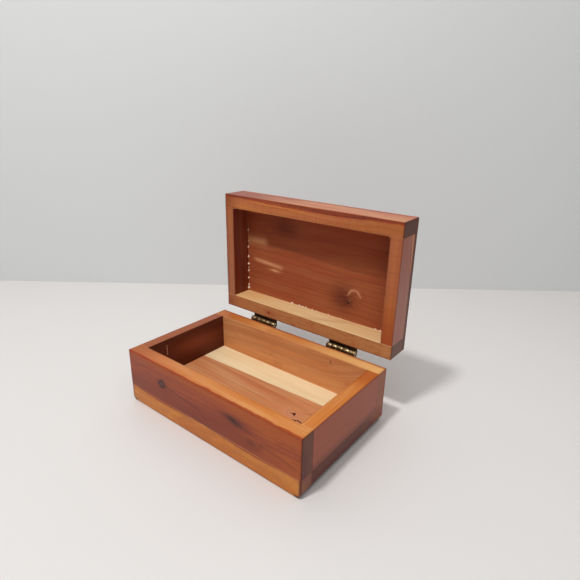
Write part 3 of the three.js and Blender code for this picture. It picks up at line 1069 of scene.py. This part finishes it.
def brass(name, polish, barrel=None):
    """Aged brass: a brown patina, rubbed bright on its high parts and grimy in its corners.

    barrel is the axis (y, z) and the radius of a leaf's knuckles: the flat of the leaf,
    beyond that radius, is painted dark in the grime colour, as painted shade.
    """
    colours, paint = bpy.context.scene.keepsake_brass, Paint(name)
    x, y, z = paint.place()
    place = paint.point(x, y, z)
    blotch = paint.noise(place, (0.5, 0.5, 0.5), 4.0, 4.0, 0.6)
    speck = paint.noise(place, (3.5, 3.5, 3.5), 9.0, 3.0, 0.6)
    scratch = paint.noise(place, (0.4, 9.0, 9.0), 12.0, 2.0, 0.6)
    worn = paint.smooth(blotch + polish, 0.42, 0.68)
    colour = paint.mix(worn, colours.aged, colours.bright)
    dirt = paint.smooth(speck, 0.55, 0.7) * (1.0 - worn * 0.6)
    colour = paint.mix(dirt * 0.75, colour, colours.grime_and_shade)
    if barrel is not None:
        (axis_y, axis_z), radius = barrel
        # painted shade: the flat of the leaf, beyond the knuckles, darkened with the grime colour
        flat = paint.smooth(paint.distance(y - axis_y, z - axis_z), radius + 0.05, radius + 0.3)
        colour = paint.mix(flat * 0.8, colour, colours.grime_and_shade)
    return paint.surface({
        "Base Color": colour,
        "Metallic": 1.0 - dirt * 0.4,
        "Roughness": 0.46 - worn * 0.18 + speck * 0.14,
        "Normal": paint.bump(scratch * 0.012 + speck * 0.02 + blotch * 0.01, 0.7),
    })


def finer(node, body, material, ease):
    """A copy of a node with its doubled points merged, flat faces joined and edges softened."""
    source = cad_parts[node].data
    work = bmesh.new()
    work.from_mesh(source)
    bmesh.ops.remove_doubles(work, verts=work.verts, dist=1e-6)
    bmesh.ops.dissolve_limit(
        work, angle_limit=math.radians(0.6), verts=work.verts, edges=work.edges)
    mesh = bpy.data.meshes.new(f"fine_{node}")
    work.to_mesh(mesh)
    work.free()
    mesh.polygons.foreach_set("use_smooth", np.ones(len(mesh.polygons), bool))
    mesh.materials.clear()
    mesh.materials.append(material)
    piece = bpy.data.objects.new(f"fine_{node}", mesh)
    bpy.context.scene.collection.objects.link(piece)
    soften = piece.modifiers.new("soften", "BEVEL")
    soften.width = ease
    soften.segments = 2
    soften.limit_method = "ANGLE"
    soften.angle_limit = math.radians(35.0)
    soften.harden_normals = True
    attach(piece, body)
    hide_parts(node)
    return piece


# ---------------------------------------------------------------- dried glue and torn wood


def glue_material():
    """Dried glue: whitish where it is thick, tinted by the wood where it is thin."""
    colours, paint = bpy.context.scene.keepsake_glue, Paint("dried_glue")
    x, y, z = paint.place()
    place = paint.point(x, y, z)
    thick = paint.attribute("thick")
    mottle = paint.noise(place, (0.9, 0.9, 0.9), 2.0, 3.0)
    colour = paint.mix(paint.smooth(thick + (mottle - 0.5) * 0.5, 0.12, 0.6),
                       colours.amber, colours.pale)
    return paint.surface({
        "Base Color": colour,
        "Roughness": 0.3 + mottle * 0.2,
        "Coat Weight": 0.4,
        "Coat Roughness": 0.15,
        "Normal": paint.bump(mottle * 0.05, 0.6),
    })


def torn_material():
    """Dark torn fibres of wood."""
    paint = Paint("torn_fibres")
    x, y, z = paint.place()
    fibre = paint.noise(paint.point(x, y, z), (0.6, 3.0, 3.0), 6.0, 3.0)
    colour = paint.mix(paint.smooth(fibre, 0.5, 0.8) * 0.6, wood().knot, (0.13, 0.05, 0.025))
    return paint.surface({
        "Base Color": colour,
        "Roughness": 0.8,
        "Normal": paint.bump(fibre * 0.05, 0.6),
    })


def beaded_run(name, body, material, start, end, beads, film, cloudy=1.0):
    """A thin run from start to end, with beads on it.

    A circle is carried along. Its radius is the film's, plus a bell for each bead, a pair
    (distance from start, radius) in millimetres, and it is drawn in to a point at both ends.
    cloudy tells how whitish the thick parts are, from 0 to 1.
    """
    around, step, taper, thickest = 14, 0.22 * MM, 0.5 * MM, 0.9 * MM
    start, end = np.array(start), np.array(end)
    length = np.linalg.norm(end - start)
    forward = (end - start) / length
    side = np.cross(forward, (0.0, 1.0, 0.0) if abs(forward[1]) < 0.5 else (1.0, 0.0, 0.0))
    side /= np.linalg.norm(side)
    up = np.cross(forward, side)
    distance = np.linspace(0.0, length, int(length / step) + 2)[:, None]
    turn = np.linspace(0.0, 2 * math.pi, around, endpoint=False)[None, :]
    radius = np.full_like(distance, film) * (1 + 0.35 * np.sin(distance * 2600))
    for number, (place, size) in enumerate(np.array(beads) * MM):
        spread = size * (0.95 + 0.3 * math.sin(number * 2.3))
        radius = radius + size * np.exp(-(((distance - place) / spread) ** 2))
    ends = np.clip(np.minimum(distance, length - distance) / taper, 0.0, 1.0)
    radius = radius * np.sqrt(ends)
    lump = 1 + 0.12 * np.sin(3 * turn + distance * 900) + 0.08 * np.sin(2 * turn - distance * 1700)
    grid = (
        start + distance[..., None] * forward
        + (radius * lump * np.cos(turn))[..., None] * side
        + (radius * lump * np.sin(turn))[..., None] * up
    )
    rings = len(distance)
    inner = grid[1:-1].reshape(-1, 3)
    points = np.concatenate([inner, [start], [end]])
    number = np.arange((rings - 2) * around).reshape(rings - 2, around)
    after = np.roll(number, -1, axis=1)
    quads = np.stack([number[:-1], after[:-1], after[1:], number[1:]], -1).reshape(-1, 4)
    tip = np.full(around, len(inner))
    first = np.stack([after[0], number[0], tip], -1)
    last = np.stack([number[-1], after[-1], tip + 1], -1)
    thick = np.repeat(np.clip(radius[1:-1, 0] / thickest, 0, 1), around)
    thick = np.concatenate([thick, [0.0, 0.0]]) * cloudy
    faces = quads.tolist() + first.tolist() + last.tolist()
    return show(name, body, points, faces, material, {"thick": thick})


# ---------------------------------------------------------------- operators


class KEEPSAKE_OT_front_wall(bpy.types.Operator):
    """Build the body's front wall, with the chip in its rim"""

    bl_idname = "keepsake.front_wall"
    bl_label = "Front wall"

    def execute(self, context):
        settings = context.scene.keepsake_wood
        node = "body_front_board"
        inner_span = side_of("body_right_end", LEFT)
        chip = Hollow(
            face=ABOVE,
            centre=(inner_span - 2.3 * MM, side_of(node, BACK), side_of(node, ABOVE)),
            size=(2.0 * MM, 0.75 * MM, 3.0 * MM), depth=1.1 * MM, ragged=0.45)
        eased = outer((FRONT, ABOVE), (LEFT, FRONT), (RIGHT, FRONT), (LEFT, ABOVE), (RIGHT, ABOVE))
        eased[(BACK, ABOVE)] = (settings.rim_edge, inner_span)
        board(node, "front_wall", "case", front_board_wood(), eased,
              glued=(BELOW,), hollows=(chip,))
        return {"FINISHED"}


class KEEPSAKE_OT_back_wall(bpy.types.Operator):
    """Build the body's back wall"""

    bl_idname = "keepsake.back_wall"
    bl_label = "Back wall"

    def execute(self, context):
        settings = context.scene.keepsake_wood
        eased = outer((BACK, ABOVE), (LEFT, BACK), (RIGHT, BACK), (LEFT, ABOVE), (RIGHT, ABOVE))
        eased[(FRONT, ABOVE)] = (settings.rim_edge, side_of("body_right_end", LEFT))
        board("body_back_board", "back_wall", "case", back_board_wood(), eased,
              glued=(BELOW,))
        return {"FINISHED"}


class KEEPSAKE_OT_end_walls(bpy.types.Operator):
    """Build the body's left and right end walls"""

    bl_idname = "keepsake.end_walls"
    bl_label = "End walls"

    def execute(self, context):
        end_walls("body", "", "case", end_board_wood(), ABOVE,
                  glued=(BELOW, FRONT, BACK))
        return {"FINISHED"}


class KEEPSAKE_OT_bottom(bpy.types.Operator):
    """Build the bottom board, with its rounded ends and the small knot hole in the floor"""

    bl_idname = "keepsake.bottom"
    bl_label = "Bottom board"

    def execute(self, context):
        settings = context.scene.keepsake_wood
        node = "body_bottom_board"
        hole = Hollow(
            face=ABOVE,
            centre=(FLOOR_KNOT.along * MM, FLOOR_KNOT.across * MM, side_of(node, ABOVE)),
            size=(1.5 * MM, 0.95 * MM, 3.0 * MM), depth=1.6 * MM, ragged=0.5)
        eased = outer((LEFT, FRONT), (RIGHT, FRONT), (LEFT, BACK), (RIGHT, BACK),
                      (FRONT, BELOW), (BACK, BELOW))
        eased[(LEFT, BELOW)] = eased[(RIGHT, BELOW)] = settings.foot_edge
        board(node, "bottom", "case", bottom_board_wood(), eased,
              hollows=(hole,))
        return {"FINISHED"}


class KEEPSAKE_OT_lid_walls(bpy.types.Operator):
    """Build the lid's four walls"""

    bl_idname = "keepsake.lid_walls"
    bl_label = "Lid walls"

    def execute(self, context):
        settings = context.scene.keepsake_wood
        span = side_of("lid_right_end", LEFT)
        front = outer((FRONT, ABOVE), (LEFT, ABOVE), (RIGHT, ABOVE), (LEFT, FRONT), (RIGHT, FRONT))
        front[(FRONT, BELOW)] = (settings.rim_edge, span)
        board("lid_front_board", "lid_front_wall", "lid", lid_front_wood(), front,
              glued=(BACK,))
        back = outer((FRONT, BELOW), (LEFT, BELOW), (RIGHT, BELOW), (LEFT, FRONT), (RIGHT, FRONT))
        back[(FRONT, ABOVE)] = (settings.rim_edge, span)
        board("lid_back_board", "lid_back_wall", "lid", lid_back_wood(), back,
              glued=(BACK,))
        end_walls("lid", "lid_", "lid", lid_end_wood(), FRONT,
                  glued=(BACK, BELOW, ABOVE))
        return {"FINISHED"}


class KEEPSAKE_OT_lid_top(bpy.types.Operator):
    """Build the lid's solid top"""

    bl_idname = "keepsake.lid_top"
    bl_label = "Lid top"

    def execute(self, context):
        eased = outer((LEFT, BELOW), (RIGHT, BELOW), (LEFT, ABOVE), (RIGHT, ABOVE),
                      (BACK, BELOW), (BACK, ABOVE))
        eased[(LEFT, BACK)] = eased[(RIGHT, BACK)] = context.scene.keepsake_wood.lid_edge
        board("lid_top_board", "lid_top", "lid", lid_top_wood(), eased)
        return {"FINISHED"}


class KEEPSAKE_OT_hinges(bpy.types.Operator):
    """Build the leaves, knuckles and pins of both hinges"""

    bl_idname = "keepsake.hinges"
    bl_label = "Hinges"

    def execute(self, context):
        ease = context.scene.keepsake_brass.ease
        low, high = (np.array(corner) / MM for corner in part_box("left_hinge_pin"))
        middle, knuckle_wall = (low + high) / 2, 1.0
        radius = (high[Z] - low[Z]) / 2 + knuckle_wall
        leaf_brass = brass("leaf_brass", 0.02, ((middle[Y], middle[Z]), radius))
        pin_brass = brass("pin_brass", 0.12)
        for side in ("left", "right"):
            finer(f"{side}_hinge_body_leaf", "case", leaf_brass, ease)
            finer(f"{side}_hinge_lid_leaf", "lid", leaf_brass, ease)
            finer(f"{side}_hinge_pin", "case", pin_brass, ease * 0.6)
        return {"FINISHED"}


class KEEPSAKE_OT_screws(bpy.types.Operator):
    """Build the slotted screws of both hinges"""

    bl_idname = "keepsake.screws"
    bl_label = "Screws"

    def execute(self, context):
        ease = context.scene.keepsake_brass.ease * 0.4
        material = brass("screw_brass", 0.1)
        for side in ("left", "right"):
            for owner, body in (("body", "case"), ("lid", "lid")):
                for number in (1, 2):
                    finer(f"{side}_hinge_{owner}_screw_{number}", body,
                          material, ease)
        return {"FINISHED"}


class KEEPSAKE_OT_glue(bpy.types.Operator):
    """Build the dried glue in the lid's inner corners and the drip in the body"""

    bl_idname = "keepsake.glue"
    bl_label = "Dried glue"

    def execute(self, context):
        film = context.scene.keepsake_glue.film
        material = glue_material()
        left = side_of("lid_left_end", RIGHT)
        right = side_of("lid_right_end", LEFT)
        roof = side_of("lid_top_board", FRONT)
        low = side_of("lid_back_board", ABOVE)
        high = side_of("lid_front_board", BELOW)
        rim = side_of("lid_front_board", FRONT)

        left_beads = [
            (2.4, 1.5), (5.4, 0.9), (12.0, 1.15), (18.9, 0.9), (22.0, 0.5), (25.5, 1.2),
            (32.4, 0.9), (41.4, 1.05), (47.0, 0.5), (57.1, 0.8)]
        back_beads = [
            (8.1, 1.1), (15.7, 0.7), (17.6, 0.5), (19.8, 0.7), (23.0, 0.75), (29.5, 0.6),
            (34.0, 0.35), (45.8, 0.5), (58.0, 0.4), (89.3, 0.8), (93.6, 0.9), (96.0, 0.6)]
        by_hinges, by_opening = rim + 0.8 * MM, rim + 0.7 * MM
        runs = [
            ("glue_left_corner", (left, roof, low), (left, roof, low + 66 * MM), left_beads,
             film),
            ("glue_back_corner", (-30 * MM, roof, low), (68 * MM, roof, low), back_beads, film),
            ("glue_right_corner", (right, by_hinges, low), (right, by_hinges, low + 8.5 * MM),
             [(0.8, 0.4), (4.5, 0.25)], 2 * film),
            ("glue_front_corner", (right, by_opening, high), (right - 2.2 * MM, by_opening, high),
             [(0.6, 0.35)], film),
        ]
        for name, start, end, beads, radius in runs:
            beaded_run(name, "lid", material, start, end, beads, radius)
        for side, place in (("left", left), ("right", right)):
            beaded_run(
                f"glue_{side}_fillet", "lid", material,
                (place, rim + 0.25 * MM, high), (place, roof, high), [(6.0, 0.15)], 7 * film,
                cloudy=0.1)

        wall, drip = side_of("body_left_end", RIGHT), -22.5 * MM
        beaded_run(
            "glue_drip", "case", material, (wall, drip, 39.0 * MM),
            (wall, drip, 30.3 * MM), [(7.2, 0.2)], 2 * film)
        return {"FINISHED"}


class KEEPSAKE_OT_torn_rim(bpy.types.Operator):
    """Build the torn slivers by the chip in the front wall's rim"""

    bl_idname = "keepsake.torn_rim"
    bl_label = "Torn rim"

    def execute(self, context):
        material = torn_material()
        edge = side_of("body_front_board", BACK)
        top = side_of("body_front_board", ABOVE)
        slivers = [
            ((66.0, 0.2), (69.4, 0.6), (1.6, 0.12), 0.312 * MM),
            ((68.9, 1.5), (73.0, 0.7), (1.2, 0.1), 0.336 * MM),
        ]
        for number, ((from_x, from_y), (to_x, to_y), bead, radius) in enumerate(slivers, 1):
            beaded_run(
                f"torn_sliver_{number}", "case", material,
                (from_x * MM, edge + from_y * MM, top - 0.55 * MM),
                (to_x * MM, edge + to_y * MM, top - 0.5 * MM), [bead], radius)
        return {"FINISHED"}


# ---------------------------------------------------------------- stage


def stage_material(name, colour, roughness):
    """A plain pale surface with a faint unevenness."""
    paint = Paint(name)
    x, y, z = paint.place()
    cloud = paint.noise(paint.point(x, y, z), (0.004, 0.004, 0.004), 1.0, 2.0)
    return paint.surface({
        "Base Color": paint.mix(cloud * 0.5, colour, [0.93 * part for part in colour]),
        "Roughness": roughness,
    })


def square_light(name, power, size, place, forward):
    """A square lamp at a place, shining forward."""
    light = bpy.data.lights.new(name, "AREA")
    light.energy = power
    light.shape = "SQUARE"
    light.size = size
    lamp = bpy.data.objects.new(name, light)
    bpy.context.scene.collection.objects.link(lamp)
    lamp.matrix_world = looking(place, forward, 0.0)


def looking(place, forward, roll):
    """A matrix that stands at a place and looks forward, with its own up tilted by roll."""
    forward = np.asarray(forward) / np.linalg.norm(forward)
    right = np.cross(forward, (0.0, 0.0, 1.0))
    right /= np.linalg.norm(right)
    up = np.cross(right, forward)
    tilted_right = right * math.cos(roll) + up * math.sin(roll)
    tilted_up = up * math.cos(roll) - right * math.sin(roll)
    columns = np.stack([tilted_right, tilted_up, -forward, place], axis=1)
    return Matrix([*columns.tolist(), [0.0, 0.0, 0.0, 1.0]])


class KEEPSAKE_OT_stage(bpy.types.Operator):
    """Build the floor, the backdrop, the soft light and the camera"""

    bl_idname = "keepsake.stage"
    bl_label = "Stage"

    def execute(self, context):
        scene, settings = context.scene, context.scene.keepsake_stage
        scene.view_settings.view_transform = "Standard"
        place = np.array(settings.camera_place)
        ahead = np.array([-math.sin(settings.azimuth), math.cos(settings.azimuth), 0.0])
        aside = np.array([ahead[1], -ahead[0], 0.0])
        reach = settings.backdrop_distance
        foot = np.array([place[0], place[1], 0.0]) + reach * ahead
        wide, near = 2.4, 2.6  # the floor's half width, and how far it comes forward
        up = np.array([0.0, 0.0, 1.6])
        planes = {
            "stage_floor": [foot - wide * aside - near * ahead, foot + wide * aside - near * ahead,
                            foot + wide * aside, foot - wide * aside],
            "stage_backdrop": [foot - wide * aside, foot + wide * aside,
                               foot + wide * aside + up, foot - wide * aside + up],
        }
        looks = {
            "stage_floor": stage_material("pale_floor", settings.floor, 0.5),
            "stage_backdrop": stage_material("pale_backdrop", settings.backdrop, 0.8),
        }
        for name, corners in planes.items():
            mesh = bpy.data.meshes.new(name)
            mesh.from_pydata([corner.tolist() for corner in corners], [], [(0, 1, 2, 3)])
            mesh.materials.append(looks[name])
            plane = bpy.data.objects.new(name, mesh)
            scene.collection.objects.link(plane)

        world = bpy.data.worlds.new("studio")
        world.use_nodes = True
        background = world.node_tree.nodes["Background"]
        background.inputs["Color"].default_value = (*settings.surroundings, 1.0)
        background.inputs["Strength"].default_value = settings.surroundings_strength
        scene.world = world

        level = math.cos(settings.key_height)
        toward = np.array([
            -math.sin(settings.key_azimuth) * level, -math.cos(settings.key_azimuth) * level,
            math.sin(settings.key_height)])
        aim = np.array(settings.aim)
        square_light("key", settings.key_power, settings.key_size,
                     aim + toward * settings.key_distance, -toward)
        square_light("overhead", settings.overhead_power, settings.overhead_size,
                     settings.overhead_place, aim - np.array(settings.overhead_place))

        lens = bpy.data.cameras.new("camera")
        lens.sensor_width = 36.0
        lens.lens = settings.focal_length
        lens.clip_start, lens.clip_end = 0.005, 20.0
        camera = bpy.data.objects.new("camera", lens)
        scene.collection.objects.link(camera)
        level = math.cos(settings.elevation)
        forward = ahead * level + np.array([0.0, 0.0, -math.sin(settings.elevation)])
        camera.matrix_world = looking(place, forward, settings.roll)
        scene.camera = camera
        return {"FINISHED"}


# ---------------------------------------------------------------- panel and registration


class KEEPSAKE_PT_panel(bpy.types.Panel):
    """Buttons that build each part of the box"""

    bl_idname = "KEEPSAKE_PT_panel"
    bl_label = "Keepsake box"
    bl_space_type = "VIEW_3D"
    bl_region_type = "UI"
    bl_category = "Keepsake"

    def draw(self, context):
        column = self.layout.column(align=True)
        for step in STEPS:
            column.operator(step.bl_idname)
        for group in SETTINGS:
            settings = getattr(context.scene, group)
            box = self.layout.box()
            for name in settings.bl_rna.properties.keys():
                if name not in ("rna_type", "name"):
                    box.prop(settings, name)


SETTINGS = {
    "keepsake_wood": KeepsakeWood,
    "keepsake_brass": KeepsakeBrass,
    "keepsake_glue": KeepsakeGlue,
    "keepsake_stage": KeepsakeStage,
}
STEPS = (
    KEEPSAKE_OT_stage,
    KEEPSAKE_OT_bottom,
    KEEPSAKE_OT_front_wall,
    KEEPSAKE_OT_back_wall,
    KEEPSAKE_OT_end_walls,
    KEEPSAKE_OT_lid_walls,
    KEEPSAKE_OT_lid_top,
    KEEPSAKE_OT_hinges,
    KEEPSAKE_OT_screws,
    KEEPSAKE_OT_glue,
    KEEPSAKE_OT_torn_rim,
)


def register():
    for item in (*SETTINGS.values(), *STEPS, KEEPSAKE_PT_panel):
        bpy.utils.register_class(item)
    for name, group in SETTINGS.items():
        setattr(bpy.types.Scene, name, bpy.props.PointerProperty(type=group))


def unregister():
    for name in SETTINGS:
        delattr(bpy.types.Scene, name)
    for item in reversed((*SETTINGS.values(), *STEPS, KEEPSAKE_PT_panel)):
        bpy.utils.unregister_class(item)


def main():
    register()
    for step in STEPS:
        family, action = step.bl_idname.split(".")
        getattr(getattr(bpy.ops, family), action)()


if __name__ == "__main__":
    main()
